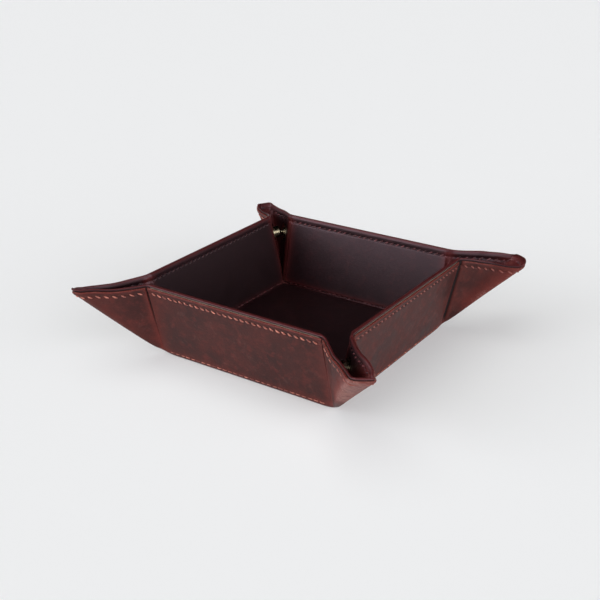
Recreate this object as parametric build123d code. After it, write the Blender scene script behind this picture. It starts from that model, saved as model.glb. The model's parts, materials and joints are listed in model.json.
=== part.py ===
from build123d import *
from math import acos, atan2, cos, degrees, floor, hypot, radians, sin, sqrt
import os

# Valet tray of folded leather: a square floor, four leaning walls and four corners pinched into ears.
# It stands snapped shut. The origin is at the centre of the floor's underside, +Z is up, the front wall
# faces -Y and the right wall faces +X. Lengths are in millimetres and angles in degrees.
#
# The cover and the lining meet at the neutral surface, and every fold line lies in it. A panel is drawn
# flat, with its outline in X and Y, the cover below Z = 0 and the board and lining above, and is then
# turned up into its place. At a fold, a panel stops short of the fold line, and on the inside of the
# fold it is mitred at half the fold's turn.

# Sizes of the sheets
base_side = 130.0
wall_height = 52.0
corner_radius = 10.0
cover_thickness = 1.2
board_thickness = 1.2
lining_thickness = 1.1
cover_setback = 1.5
board_inset = 3.0

# How the tray is folded when it is snapped shut
wall_lean = 13.0
tip_half_angle = 4.0

# Clearances at the folds
fold_clearance = 0.15
cheek_swing_angle = 1.3
ear_start = 5.0

# Press stud: place of its axis on the cheek, then its pieces
snap_height = 37.0
snap_from_crease = 11.0
flange_radius = 6.2
flange_thickness = 0.8
stud_foot_radius = 3.2
stud_foot_height = 0.7
neck_radius = 1.3
ball_radius = 2.0
ball_clearance = 0.3
socket_wall = 1.9
socket_hold = 0.8
socket_rounding = 0.6
spring_wire = 0.5
spring_slack = 0.15
spring_opening_angle = 40.0
rivet_flange_radius = 4.6
rivet_flange_thickness = 0.4
rivet_radius = 1.1
rivet_reach = 0.7
rivet_fit = 0.05

# Stitches
stitch_pitch = 4.2
stitch_length = 3.1
stitch_width = 0.7
stitch_height = 0.35
stitch_lift = 0.02
stitch_slant_angle = 12.0
stitch_margin = 4.0
rim_seam_drop = 4.9
base_seam_inset = 3.4

# Half sizes and angles that follow from the folding
half_side = base_side / 2
wall_turn = 90 - wall_lean
cheek_angle = 45 - tip_half_angle
up = Vector(0, 0, 1)


def tip_rise():
    """Angle above the floor of the middle line of a tip, from the closed chain of panels at a corner."""
    lean = radians(wall_lean)
    half = radians(tip_half_angle)
    level = cos(half) * sin(lean) / sqrt(2)
    upright = cos(half) * cos(lean)
    reach = cos(radians(cheek_angle)) - sin(half) * sin(lean) / sqrt(2)
    return degrees(atan2(upright, level) - acos(reach / hypot(level, upright)))


# Directions at the front right corner: up the front wall, across the corner, out along the tip and along
# the fold between the tip and the cheek that is next to the front wall.
rise = tip_rise()
wall_up = Vector(0, -sin(radians(wall_lean)), cos(radians(wall_lean)))
wall_in = Vector(0, cos(radians(wall_lean)), sin(radians(wall_lean)))
across = Vector(1, 1, 0).normalized()
tip_line = Vector(1, -1, 0).normalized() * cos(radians(rise)) + up * sin(radians(rise))
tip_in = tip_line.cross(across)
tip_fold = tip_line * cos(radians(tip_half_angle)) - across * sin(radians(tip_half_angle))
cheek_across = (tip_fold - wall_up * tip_fold.dot(wall_up)).normalized()
cheek_in = wall_up.cross(cheek_across)
crease_turn = wall_in.get_angle(cheek_in)
tip_turn = tip_in.get_angle(cheek_in)

# Places of the panels
vertex = Vector(half_side, -half_side, cover_thickness)
base_place = Plane(origin=(0, 0, cover_thickness)).location
wall_place = Plane(origin=(0, -half_side, cover_thickness), x_dir=(-1, 0, 0), z_dir=wall_in).location
cheek_place = Plane(origin=vertex, x_dir=wall_up, z_dir=cheek_in).location
tip_place = Plane(origin=vertex, x_dir=tip_line, z_dir=tip_in).location
corner_mirror = Plane(origin=vertex, z_dir=across)

# The ball of the stud sits where the axes of the two halves of the snap meet, midway between the cheeks.
snap_foot = vertex + wall_up * snap_height + cheek_across * snap_from_crease + cheek_in * lining_thickness
ball_height = (vertex - snap_foot).dot(across) / cheek_in.dot(across)


def direction(angle):
    """Unit vector in the plane of a flat panel."""
    return Vector(cos(radians(angle)), sin(radians(angle)), 0)


def cut_back(panel, point, off, turn=0.0, gap=fold_clearance):
    """Cuts a flat panel along a line through point. off points off the panel, square to the line.
    A turn above zero mitres the upper side for a fold upwards, and one below zero the lower side."""
    half = radians(turn / 2)
    face = Plane(origin=point - off * gap, z_dir=off * cos(half) + up * sin(half))
    return split(panel, bisect_by=face, keep=Keep.BOTTOM)


def slab(sketch, bottom, top):
    """Flat sheet with the sketch's outline, between two heights."""
    return extrude(Plane.XY.offset(bottom) * sketch, amount=top - bottom)


def disc(radius, height, foot=0.0):
    """Upright cylinder that stands at height foot."""
    return Pos(0, 0, foot) * Cylinder(radius, height, align=(Align.CENTER, Align.CENTER, Align.MIN))


# Floor

def base_sheet(bottom, top, inset=0.0, turn=0.0, gap=fold_clearance):
    """Square sheet of the floor, cut back from its four fold lines."""
    sheet = slab(Rectangle(base_side, base_side), bottom, top)
    for side in range(4):
        off = direction(90 * side)
        sheet = cut_back(sheet, off * (half_side - inset), off, turn, gap)
    return sheet


def make_base():
    """Cover, board and lining of the floor."""
    board = base_sheet(0, board_thickness, inset=board_inset, gap=0)
    lining = base_sheet(0, board_thickness + lining_thickness, turn=wall_turn) - board
    return {
        "base_cover": base_place * base_sheet(-cover_thickness, 0),
        "base_board": base_place * board,
        "base_lining": base_place * lining,
        "base_thread": base_place * base_stitches(),
    }


# Walls

def wall_sheet(bottom, top, height, inset=0.0):
    """Rectangular sheet of a wall, its foot on the X axis and its height along Y."""
    width = base_side - 2 * inset
    return Pos(0, inset, 0) * slab(Rectangle(width, height - inset, align=(Align.CENTER, Align.MIN)), bottom, top)


def cut_sides(panel, width, turn=0.0, gap=fold_clearance):
    """Cuts both ends of a wall's panel back from its creases."""
    for off in (Vector(1, 0, 0), Vector(-1, 0, 0)):
        panel = cut_back(panel, off * (width / 2), off, turn, gap)
    return panel


def make_wall_cover():
    """Cover of a wall. The ear folds outwards at its ends, so they are mitred on the outside."""
    cover = wall_sheet(-cover_thickness, 0, wall_height - cover_setback)
    cover = cut_back(cover, Vector(0, 0, 0), Vector(0, -1, 0))
    return cut_sides(cover, base_side, -crease_turn)


def make_wall_lining(board):
    """Lining of a wall: one sheet that rises over the board and closes over its top edge."""
    foot = Vector(0, 0, 0)
    thin = cut_sides(wall_sheet(0, lining_thickness, wall_height), base_side)
    inner_face = board_thickness + lining_thickness
    raised_width = base_side - 2 * board_inset + 2 * inner_face
    raised = cut_sides(wall_sheet(0, inner_face, wall_height), raised_width, 90, gap=0)
    lining = cut_back(thin + raised, foot, Vector(0, -1, 0), wall_turn) - board
    placed = wall_place * lining
    for side in (1, -1):
        corner = Vector(side * half_side, -half_side, cover_thickness)
        off = Vector(side, 1, 0).normalized()
        placed = cut_back(placed, corner, off)
    return placed


def make_walls():
    """Cover, board, lining and rim stitches of the four walls."""
    board = wall_sheet(0, board_thickness, wall_height - lining_thickness, inset=board_inset)
    front = {
        "cover": wall_place * make_wall_cover(),
        "board": wall_place * board,
        "lining": make_wall_lining(board),
        "thread": wall_place * wall_stitches(),
    }
    walls = {}
    for turn, side in enumerate(("front", "right", "back", "left")):
        for layer, piece in front.items():
            walls[f"wall_{side}_{layer}"] = Rot(0, 0, 90 * turn) * piece
    return walls


# Ears

def ear_square(setback, bottom, top):
    """Square corner of the sheet, from the fold vertex to its rounded end."""
    side = wall_height - setback
    outline = Rectangle(side, side, align=(Align.MIN, Align.MIN))
    far_corner = outline.vertices().sort_by(Axis((0, 0, 0), (1, 1, 0)))[-1]
    return slab(fillet(far_corner, corner_radius - setback), bottom, top)


def make_cheek_sheet(setback, bottom, top, crease_mitre, tip_mitre):
    """One cheek in its flat place, next to the wall whose crease runs along X."""
    vertex_point = Vector(0, 0, 0)
    sheet = ear_square(setback, bottom, top)
    sheet = cut_back(sheet, vertex_point, direction(cheek_swing_angle - 90), crease_mitre)
    sheet = cut_back(sheet, vertex_point, direction(cheek_angle + 90), tip_mitre)
    middle = direction(cheek_angle / 2)
    return cut_back(sheet, middle * ear_start, middle * -1, gap=0)


def make_tip_sheet(setback, bottom, top, mitre):
    """The folded strip at the end of an ear in its flat place, its middle line along X."""
    vertex_point = Vector(0, 0, 0)
    sheet = Rot(0, 0, -45) * ear_square(setback, bottom, top)
    for side in (1, -1):
        sheet = cut_back(sheet, vertex_point, direction(side * (tip_half_angle + 90)), mitre)
    return cut_back(sheet, direction(0) * ear_start, direction(180), gap=0)


def make_cheek():
    """Cover and lining of a cheek, the lining bored for the rivet of the snap."""
    cover = make_cheek_sheet(cover_setback, -cover_thickness, 0, -crease_turn, 0)
    lining = make_cheek_sheet(0, 0, lining_thickness, 0, tip_turn)
    bore = disc(rivet_flange_radius, rivet_flange_thickness) + disc(rivet_radius + rivet_fit, lining_thickness)
    lining = cheek_place * (lining - snap_seat * bore)
    return cheek_place * cover, cut_back(lining, vertex, across)


def make_tip():
    """Cover and lining of a tip."""
    cover = make_tip_sheet(cover_setback, -cover_thickness, 0, 0)
    lining = make_tip_sheet(0, 0, lining_thickness, tip_turn)
    return tip_place * cover, tip_place * lining


# Press stud. Each piece stands on Z = 0, the neutral surface, with its axis along Z.

snap_seat = Pos(snap_height, snap_from_crease, 0)
bore_radius = ball_radius + ball_clearance
rivet_top = lining_thickness + rivet_reach


def make_rivet():
    """Flange and shank that hold a half of the snap to the lining, from behind."""
    return disc(rivet_flange_radius, rivet_flange_thickness) + disc(rivet_radius, rivet_top)


def make_stud():
    """Flange, foot, neck and ball."""
    foot_top = flange_thickness + stud_foot_height
    stud = disc(flange_radius, flange_thickness) + disc(stud_foot_radius, foot_top)
    stud += disc(neck_radius, ball_height)
    stud += Pos(0, 0, ball_height) * Sphere(ball_radius)
    rivet_hole = disc(rivet_radius + rivet_fit, rivet_reach + rivet_fit)
    return Pos(0, 0, lining_thickness) * (stud - rivet_hole)


def make_socket():
    """Flange and tower with a bore for the ball, and the open spring ring in its groove."""
    tower_radius = bore_radius + socket_wall
    tower_top = ball_height + socket_hold
    floor_height = ball_height - bore_radius
    tower = disc(tower_radius, tower_top)
    tower = fillet(tower.edges().sort_by(Axis.Z)[-1], socket_rounding)
    groove_height = spring_wire + 2 * spring_slack
    groove_radius = bore_radius + spring_wire + spring_slack
    groove_foot = ball_height - groove_height / 2
    socket = disc(flange_radius, flange_thickness) + tower
    socket -= disc(bore_radius, tower_top, floor_height)
    socket -= disc(groove_radius, groove_height, groove_foot)
    socket -= disc(rivet_radius + rivet_fit, rivet_reach + rivet_fit)
    ring_radius = bore_radius + spring_wire / 2
    wire = Plane.XZ * Pos(ring_radius, groove_foot + spring_slack + spring_wire / 2) * Circle(spring_wire / 2)
    spring = revolve(wire, Axis.Z, 360 - spring_opening_angle)
    return Pos(0, 0, lining_thickness) * Compound(children=[socket, spring])


def make_ears():
    """The four ears. The stud is on the first wall's side of each and the socket on the next wall's."""
    cover, lining = make_cheek()
    tip_cover, tip_lining = make_tip()
    first = {
        "cheek_one_cover": cover,
        "cheek_one_lining": lining,
        "snap_stud": cheek_place * snap_seat * make_stud(),
        "snap_stud_rivet": cheek_place * snap_seat * make_rivet(),
    }
    second = {
        "cheek_two_cover": cover,
        "cheek_two_lining": lining,
        "snap_socket": cheek_place * snap_seat * make_socket(),
        "snap_socket_rivet": cheek_place * snap_seat * make_rivet(),
    }
    ear = {"tip_cover": tip_cover, "tip_lining": tip_lining, **first}
    for name, piece in second.items():
        ear[name] = mirror(piece, about=corner_mirror)
    ears = {}
    for turn, corner in enumerate(("front_right", "right_back", "back_left", "left_front")):
        for name, piece in ear.items():
            ears[f"ear_{corner}_{name}"] = Rot(0, 0, 90 * turn) * piece
    return ears


# Stitches

def stitch_row(length, slant=stitch_slant_angle):
    """Stitches along X, centred, each a low bar that stands on Z = 0."""
    bar = Box(stitch_length, stitch_width, stitch_height, align=(Align.CENTER, Align.CENTER, Align.MIN))
    count = floor(length / stitch_pitch)
    first = -stitch_pitch * (count - 1) / 2
    return [Pos(first + stitch_pitch * index, 0, 0) * Rot(0, 0, slant) * bar for index in range(count)]


def wall_stitches():
    """The rim seam of a wall, on the cover and on the lining."""
    row = stitch_row(base_side - 2 * stitch_margin)
    inner = Pos(0, wall_height - rim_seam_drop, board_thickness + lining_thickness + stitch_lift)
    outer = Pos(0, wall_height - rim_seam_drop, -cover_thickness - stitch_lift) * Rot(180, 0, 0)
    return Compound(children=[place * bar for place in (inner, outer) for bar in row])


def base_stitches():
    """The seam round the floor that traps its board, where it shows on the lining."""
    row = stitch_row(base_side - 2 * base_seam_inset - 2 * stitch_margin, slant=0)
    side_place = Pos(0, base_seam_inset - half_side, board_thickness + lining_thickness + stitch_lift)
    return Compound(children=[Rot(0, 0, 90 * side) * side_place * bar for side in range(4) for bar in row])


nodes = {**make_base(), **make_walls(), **make_ears()}
os.makedirs("parts", exist_ok=True)
for node_name, solid in nodes.items():
    export_step(solid, f"parts/{node_name}.step")
print(f"tip rise {rise:.3f}, crease turn {crease_turn:.3f}, tip turn {tip_turn:.3f}, ball height {ball_height:.3f}")
print(f"{len(nodes)} nodes")
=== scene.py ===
import json
from math import acos, cos, pi, radians, sin, sqrt, tan

import bmesh
import bpy
import numpy as np
from bpy.props import FloatProperty, FloatVectorProperty, PointerProperty
from mathutils import Matrix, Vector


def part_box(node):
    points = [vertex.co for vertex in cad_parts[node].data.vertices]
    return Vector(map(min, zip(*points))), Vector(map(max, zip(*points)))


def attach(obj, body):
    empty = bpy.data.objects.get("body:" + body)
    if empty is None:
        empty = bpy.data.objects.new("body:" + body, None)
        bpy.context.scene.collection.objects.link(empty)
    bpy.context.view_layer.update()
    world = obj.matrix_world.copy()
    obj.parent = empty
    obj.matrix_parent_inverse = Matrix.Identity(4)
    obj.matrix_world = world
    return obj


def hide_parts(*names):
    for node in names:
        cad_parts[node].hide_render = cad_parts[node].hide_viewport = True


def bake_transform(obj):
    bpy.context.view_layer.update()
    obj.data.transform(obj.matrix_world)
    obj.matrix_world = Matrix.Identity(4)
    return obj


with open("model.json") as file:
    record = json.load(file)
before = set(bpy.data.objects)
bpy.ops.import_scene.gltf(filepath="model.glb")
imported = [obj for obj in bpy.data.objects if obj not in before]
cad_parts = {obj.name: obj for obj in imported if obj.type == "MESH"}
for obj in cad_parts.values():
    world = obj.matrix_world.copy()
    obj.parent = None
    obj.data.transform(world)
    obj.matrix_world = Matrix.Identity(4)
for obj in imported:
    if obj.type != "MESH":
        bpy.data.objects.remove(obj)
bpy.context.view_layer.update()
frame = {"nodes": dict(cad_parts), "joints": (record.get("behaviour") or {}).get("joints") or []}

bl_info = {
    "name": "Folding Leather Tray",
    "version": (1, 0, 0),
    "blender": (4, 5, 0),
    "location": "View3D > Sidebar > Tray",
    "description": "Dresses the packed tray in stitched leather and sets it on a pale stage",
    "category": "Object",
}

# Every surface is worked out in the pattern of the flat sheet. In a panel, v runs up from the fold line at
# the floor and u runs across, and h is the height over the middle surface where cover and lining meet:
# the cover lies below it, the lining and the boards above. Lengths are in metres.

MM = 0.001
SIDES = ("front", "right", "back", "left")
CORNERS = ("front_right", "right_back", "back_left", "left_front")
CHEEKS = ("one", "two")
JOINTS = {joint["name"]: joint for joint in frame["joints"]}
PROBE = 0.02 * MM
TINY = 1e-12


def unit(vectors):
    """Vectors of length 1 along the given ones."""
    vectors = np.asarray(vectors, float)
    return vectors / np.maximum(np.linalg.norm(vectors, axis=-1, keepdims=True), TINY)


# Sizes and directions of the frame, at the front wall and the front right corner
WALL_JOINT = JOINTS["wall_front_fold"]
CHEEK_JOINT = JOINTS["ear_front_right_cheek_one_fold"]
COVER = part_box("base_cover")[1].z
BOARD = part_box("base_board")[1].z - COVER
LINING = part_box("base_lining")[1].z - COVER - BOARD
HALF_SIDE = -WALL_JOINT["pos_m"][1]
BOARD_INSET = HALF_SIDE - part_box("base_board")[1].x
WALL_TURN = radians(WALL_JOINT["range_deg"][1])
RIM_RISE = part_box("wall_front_lining")[1].z - COVER
WALL_HEIGHT = (RIM_RISE - (BOARD + LINING) * cos(WALL_TURN)) / sin(WALL_TURN)
VERTEX = np.array(CHEEK_JOINT["pos_m"])
RIGHTWARD = np.array((1.0, 0.0, 0.0))
BACKWARD = np.array((0.0, 1.0, 0.0))
UP = np.array((0.0, 0.0, 1.0))
ACROSS = unit((1, 1, 0))
OUTWARD = unit((1, -1, 0))
WALL_UP = np.array((0, -cos(WALL_TURN), sin(WALL_TURN)))
WALL_IN = np.array((0, sin(WALL_TURN), cos(WALL_TURN)))
TIP_FOLD = unit(CHEEK_JOINT["axis"])
FOLD_ANGLE = acos(TIP_FOLD @ WALL_UP)
CHEEK_ACROSS = unit(TIP_FOLD - WALL_UP * cos(FOLD_ANGLE))
CHEEK_IN = np.cross(WALL_UP, CHEEK_ACROSS)
CHEEK_TO_TIP = np.cross(CHEEK_IN, TIP_FOLD)
TIP_IN = np.cross(unit(TIP_FOLD - ACROSS * (TIP_FOLD @ ACROSS)), ACROSS)
TIP_ON = np.cross(TIP_IN, TIP_FOLD)
CREASE_TURN = acos(WALL_IN @ CHEEK_IN)
TIP_TURN = acos(TIP_IN @ CHEEK_IN)

# An even spread of places in a disc, the same on both sides of its diagonal
RINGS = 4
SPOKES = 16
DISC = [(sqrt((ring + 0.5) / RINGS), (spoke + 0.5 * (ring % 2)) * 2 * pi / SPOKES)
        for ring in range(RINGS) for spoke in range(SPOKES)]


def linear(code):
    """Linear RGBA of an sRGB hex value."""
    parts = [int(code[at:at + 2], 16) / 255 for at in (1, 3, 5)]
    return tuple(c / 12.92 if c <= 0.04045 else ((c + 0.055) / 1.055) ** 2.4 for c in parts) + (1.0,)


def length(label, about, millimetres):
    return FloatProperty(name=label, description=about, default=millimetres * MM, unit="LENGTH", precision=5)


def angle(label, about, degrees):
    return FloatProperty(name=label, description=about, default=radians(degrees), unit="ROTATION")


def number(label, about, value):
    return FloatProperty(name=label, description=about, default=value)


def tint(label, about, code):
    return FloatVectorProperty(name=label, description=about, default=linear(code), size=4, subtype="COLOR",
                               min=0, max=1)


def per_corner(label, about, *millimetres):
    values = [value * MM for value in millimetres]
    return FloatVectorProperty(name=label, description=about, default=values, size=4, unit="LENGTH")


class TrayLeather(bpy.types.PropertyGroup):
    """How the leather is cut and how tightly it folds."""
    corner_radius: length("Corner radius", "Rounding of the sheet at the end of an ear", 10)
    fold_radius: length("Floor fold", "Bend of the middle surface at the foot of a wall", 2.2)
    crease_radius: length("Crease", "Bend of the middle surface where a wall meets an ear", 5.0)
    crease_least: number("Crease at the floor", "Share of that bend at the floor's corner", 0.15)
    crease_full: length("Crease full", "Height up the wall where that bend has its full size", 9.0)
    bend_reach: length("Ear bend", "How far the bend at an ear's end reaches each way", 5.0)
    bend_share: number("Bend share", "Most of the strip at an ear's end that its bend may take", 0.97)
    soft_reach: length("Corner softness", "How much wider the folds spread at a corner of the floor", 2.4)
    soft_fade: length("Softness fades", "Distance over which that widening fades", 5.0)
    soft_near: length("Soft corner", "Distance from a corner up to which the sheet is wholly rounded", 5.0)
    soft_far: length("Soft corner ends", "Distance from a corner where its rounding ends", 20.0)
    cover_drop: length("Cover drop", "Cover's edge below the rim", 1.5)
    cover_rounding: length("Cover edge", "Rounding of the cover's cut edge", 0.42)
    rim_rounding: length("Rim rounding", "Rounding of the lining over the rim", 0.8)
    rim_bulge: length("Rim bulge", "How far the lining's hem stands proud inside the rim", 0.15)
    bulge_drop: length("Bulge drop", "Middle of that bulge below the rim", 1.6)
    bulge_width: length("Bulge width", "Half width of that bulge", 1.0)
    hem_thickness: length("Hem", "Lining's folded hem on an ear", 1.5)
    hem_width: length("Hem width", "Depth of the hem below the rim", 2.9)
    hem_step: length("Hem step", "Depth below the hem over which the lining thins", 1.5)
    channel_depth: length("Channel depth", "How deep a seam draws the leather in", 0.24)
    channel_width: length("Channel width", "Half width of the drawn-in line of a seam", 0.8)
    hole_depth: length("Hole depth", "Dimple where the thread goes in", 0.42)
    hole_radius: length("Hole radius", "Radius of that dimple", 0.66)
    puff: length("Puff", "Leather that stands proud between seam and edge", 0.2)
    puff_width: length("Puff width", "Half width of what stands proud", 1.1)
    groove_depth: length("Groove depth", "Pressed line of the cover between wall and ear", 0.9)
    # The pressed line's share also paints shade into the line, through the pressed attribute.
    groove_one: per_corner("Groove, first wall", "Half width of that line", 0.55, 1.5, 0.6, 0.6)
    groove_two: per_corner("Groove, second wall", "Half width of that line", 0.6, 0.6, 0.6, 0.6)
    foot_one: per_corner("Groove foot, first wall", "Height from which that line is whole", 70, 8, 30, 30)
    foot_two: per_corner("Groove foot, second wall", "Height from which that line is whole", 60, 30, 30, 50)


class TrayWearAndPaintedLight(bpy.types.PropertyGroup):
    """How far the leather is rubbed and creased, from 0 as new to 1, with painted shade on the linings and
    painted light on some ears.
    """
    rim: number("Rim", "Lining on the rim", 0.55)
    rim_drop: length("Rim drop", "Middle of that wear below the rim", 0.3)
    rim_width: length("Rim width", "Half width of that wear", 1.3)
    edge: number("Cover edge", "Cut edge of the cover", 0.75)
    edge_width: length("Cover edge width", "Half width of that wear", 0.5)
    crease: number("Crease", "Wall beside its ears", 0.8)
    crease_width: length("Crease width", "Half width of that wear", 5.0)
    foot: number("Foot", "Wall at the floor fold", 0.5)
    wall_most: number("Wall, most", "Most wear of a wall", 0.85)
    cover_share: number("Cover share", "Share of a wall's wear that its cover shows", 0.45)
    ear_crease: number("Ear crease", "Ear beside its wall", 0.6)
    ear_crease_width: length("Ear crease width", "Half width of that wear", 3.0)
    # Wear along the bend at each ear's end, partly painted light: it is higher on the front right and right
    # back ears, so these come out lighter and redder as if more light fell on them.
    ear_bend_wear_and_painted_light: FloatVectorProperty(name="Ear bend", description="Bend at the end of each ear", size=4,
                                  default=(0.95, 0.8, 0.5, 0.3))
    ear_bend_width: length("Ear bend width", "Half width of that wear", 8.0)
    floor: number("Floor", "Floor along its edge", 0.4)
    floor_inset: length("Floor inset", "Middle of that wear, in from the floor's edge", 1.0)
    floor_width: length("Floor width", "Half width of that wear", 1.6)
    # Painted shade: darkening of the wall and floor linings, most on the left wall, which faces away from the
    # light, and less where the lining is worn.
    wall_painted_shade: FloatVectorProperty(name="Wall shade", description="Darkening of each wall's lining", size=4,
                                    default=(0.3, 0.3, 0.0, 0.8))
    floor_painted_shade: number("Floor shade", "Darkening of the floor's lining", 0.5)
    painted_shade_worn_off: number("Shade rubbed off", "Share of a wall's darkening that full wear takes away", 0.6)


class TraySeams(bpy.types.PropertyGroup):
    """Thread and stitches."""
    rim_drop: length("Seam drop", "Rim seam below the rim", 4.9)
    pitch: length("Pitch", "From stitch to stitch on the walls", 4.24)
    ear_pitch: length("Ear pitch", "From stitch to stitch on the ears", 5.0)
    stitch: length("Stitch", "Length of a stitch that shows", 3.3)
    slant: angle("Slant", "Turn of a stitch against its seam", 34)
    thread: length("Thread", "Thickness of the thread", 0.95)
    fine_thread: length("Floor thread", "Thickness of the thread outside at the foot of a wall", 0.5)
    floor_rise: length("Floor seam", "Height of the seam at the foot of a wall", 2.3)
    floor_lift: length("Floor seam lift", "How far the board's edge lifts that seam inside", 0.35)
    ends: length("Seam ends", "Bare stretch at each end of a wall's seam", 2.6)
    floor_ends: length("Floor seam ends", "Bare stretch at each end of the seam at a wall's foot", 3.6)


class TrayEars(bpy.types.PropertyGroup):
    """How each ear has set, for the front right, right back, back left and left front corners."""
    stand: per_corner("Stand", "How far the end of an ear stands out", 6.5, -0.3, 0.3, 0.6)
    lean: per_corner("Lean", "How far it leans towards its second wall", 7.2, -8.3, 9.3, -1.6)
    rise: per_corner("Rise", "How far it stands up", 5.9, 0.8, 1.5, 3.5)
    crown: per_corner("Crown", "How far the middle of its rim is raised over its bends", 0.0, 1.5, -1.4, 0.0)
    mouth_one: per_corner("Mouth, first cheek", "How far its far end spreads", 6.0, 2.3, 4.6, -2.9)
    mouth_two: per_corner("Mouth, second cheek", "How far its far end spreads", -3.5, 6.0, -2.4, -0.8)
    crest_one: per_corner("Crest, first cheek", "How far its rim is raised", 0.0, -2.1, -0.4, -0.1)
    crest_two: per_corner("Crest, second cheek", "How far its rim is raised", 6.4, 1.4, -2.9, 1.3)
    crest_up: number("Crest up", "Share of a raised rim that goes upwards", 0.9)
    crest_out: number("Crest out", "Share of a raised rim that goes outwards", 0.44)
    span: length("Span", "From the floor's corner to the end of an ear", 69)
    growth: number("Growth", "Power with which an ear's set grows from the floor's corner to its end", 1.5)
    crown_lead: number("Crown lead", "Where the crown starts before the bend, in half widths of the end", 0.5)
    lean_start: angle("Lean starts", "Turn from the wall's crease where a cheek begins to lean inwards", 18)
    lean_late: angle("Outward lean starts", "The same turn where a cheek leans outwards", 22)
    lean_full: angle("Lean full", "Turn from the crease where the whole lean is reached", 40)
    crest_start: angle("Crest starts", "Turn from the crease where the raised rim begins", 3)
    crest_full: angle("Crest full", "Turn from the crease where it is fully raised", 26)
    crest_end: angle("Crest ends", "Turn from the crease where it begins to fall again", 30)
    crest_low: length("Crest foot", "Distance from the floor's corner where raising begins", 30)
    crest_high: length("Crest top", "Distance from the floor's corner where it is fully raised", 62)


class TrayColours(bpy.types.PropertyGroup):
    """Colours of the leathers and threads."""
    cover_dark: tint("Cover, dark", "Waxed burgundy leather of the cover", "#311412")
    cover_mid: tint("Cover, mid", "Pulled-up colour of the cover", "#47201c")
    cover_red: tint("Cover, red", "Cover where it is creased", "#6a2a23")
    cover_worn: tint("Cover, worn", "Cover's rubbed edges", "#a67c72")
    cover_sheen: tint("Cover, sheen", "Tint of the light that the cover throws back", "#ffffff")
    lining_dark: tint("Lining, dark", "Burnished lining", "#190c0e")
    lining_mid: tint("Lining, mid", "Lighter cloud of the lining", "#221114")
    lining_red: tint("Lining, red", "Lining where it is creased", "#5a2120")
    lining_worn: tint("Lining, worn", "Lining's rubbed rim", "#7d5049")
    lining_sheen: tint("Lining, sheen", "Tint of the light that the waxed lining throws back", "#f8d4dd")
    # Near-black colour of painted shade: in the pressed line between wall and ear, where the lining tucks
    # behind the cover, and over the darkened linings of the walls and floor.
    pressed: tint("Pressed line", "Bottom of the line between wall and ear", "#160a0a")
    thread_light: tint("Thread, light", "Waxed thread of the seams outside", "#cd7f6a")
    # The darker thread colours mix in at random from stitch to stitch and towards one side of the tray;
    # inside, on the left wall, that is painted shade.
    thread_dark: tint("Thread, dark", "The same thread where it has darkened", "#7c3d34")
    thread_inside: tint("Thread inside", "Waxed thread of the seams inside", "#7a4244")
    thread_deep: tint("Thread inside, dark", "The same thread where it has darkened", "#321618")
    brass: tint("Brass", "Press studs", "#a3977c")
    board: tint("Board", "Fibre board inside the leather", "#7d6f60")
    board_fleck: tint("Board, fleck", "Short flecks of the board", "#5d5247")
    sky: tint("Sky", "Light of the window and of the low light", "#f2f4fa")
    paper: tint("Paper", "Matt floor under the light", "#fafaf8")
    backdrop: tint("Backdrop", "Floor and room as the camera sees them", "#ebebeb")


class TrayStage(bpy.types.PropertyGroup):
    """Camera and light."""
    azimuth: angle("Azimuth", "Camera's turn round the tray", 34.91)
    elevation: angle("Elevation", "Camera's height above the horizon", 26.74)
    distance: length("Distance", "Camera to the centre of the floor", 635.4)
    roll: angle("Roll", "Camera's turn about its own axis", -0.87)
    focal: number("Focal length", "Lens in millimetres", 57.82)
    sensor: number("Sensor", "Width of the sensor in millimetres", 36)
    shift_right: number("Shift right", "Share of the picture's width", 0.00995)
    shift_down: number("Shift down", "Share of the picture's width", 0.06583)
    key: number("Window", "Strength at the middle of the bright window in front on the left", 6.4)
    fill: number("Fill", "Strength at the middle of the low light from the right", 5.0)
    sun: number("Sun", "Strength of the wide lamp above on the left", 1.18)
    sun_spread: angle("Sun spread", "Angle over which that lamp spreads", 60)
    shadow: number("Shadow", "Share of the floor's shadow that the camera sees", 0.66)
    floor_reach: length("Floor reach", "From the tray's centre to each edge of the pale floor", 6000)


GROUPS = {
    "leather": TrayLeather,
    "wear": TrayWearAndPaintedLight,
    "seams": TraySeams,
    "ears": TrayEars,
    "colours": TrayColours,
    "stage": TrayStage,
}


class TraySettings(bpy.types.PropertyGroup):
    """All that can be set."""
    leather: PointerProperty(type=TrayLeather)
    wear: PointerProperty(type=TrayWearAndPaintedLight)
    seams: PointerProperty(type=TraySeams)
    ears: PointerProperty(type=TrayEars)
    colours: PointerProperty(type=TrayColours)
    stage: PointerProperty(type=TrayStage)


def settings():
    return bpy.context.scene.tray


# Surfaces

def ramp(x, low, high):
    """0 before low and 1 after high, smooth between."""
    share = np.clip((x - low) / (high - low), 0, 1)
    return share * share * (3 - 2 * share)


def hill(x, centre, width):
    """1 at centre, falling off on both sides over width."""
    return np.exp(-((x - centre) / width) ** 2)


def arc(reach, share, turn):
    """Forward and sideways travel along a bend that spans reach on each side of its corner."""
    radius = reach / tan(turn / 2)
    return radius * np.sin(turn * share), radius * (1 - np.cos(turn * share))


def fold_reach():
    """How far the bend at the foot of a wall reaches each side of its fold line."""
    return settings().leather.fold_radius * tan(WALL_TURN / 2)


def crease_reach(v):
    """How far the crease between wall and ear bends each side of its line, less towards the vertex."""
    leather = settings().leather
    least = leather.crease_least
    share = least + (1 - least) * ramp(v, 0, leather.crease_full)
    return leather.crease_radius * tan(CREASE_TURN / 2) * share


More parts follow.
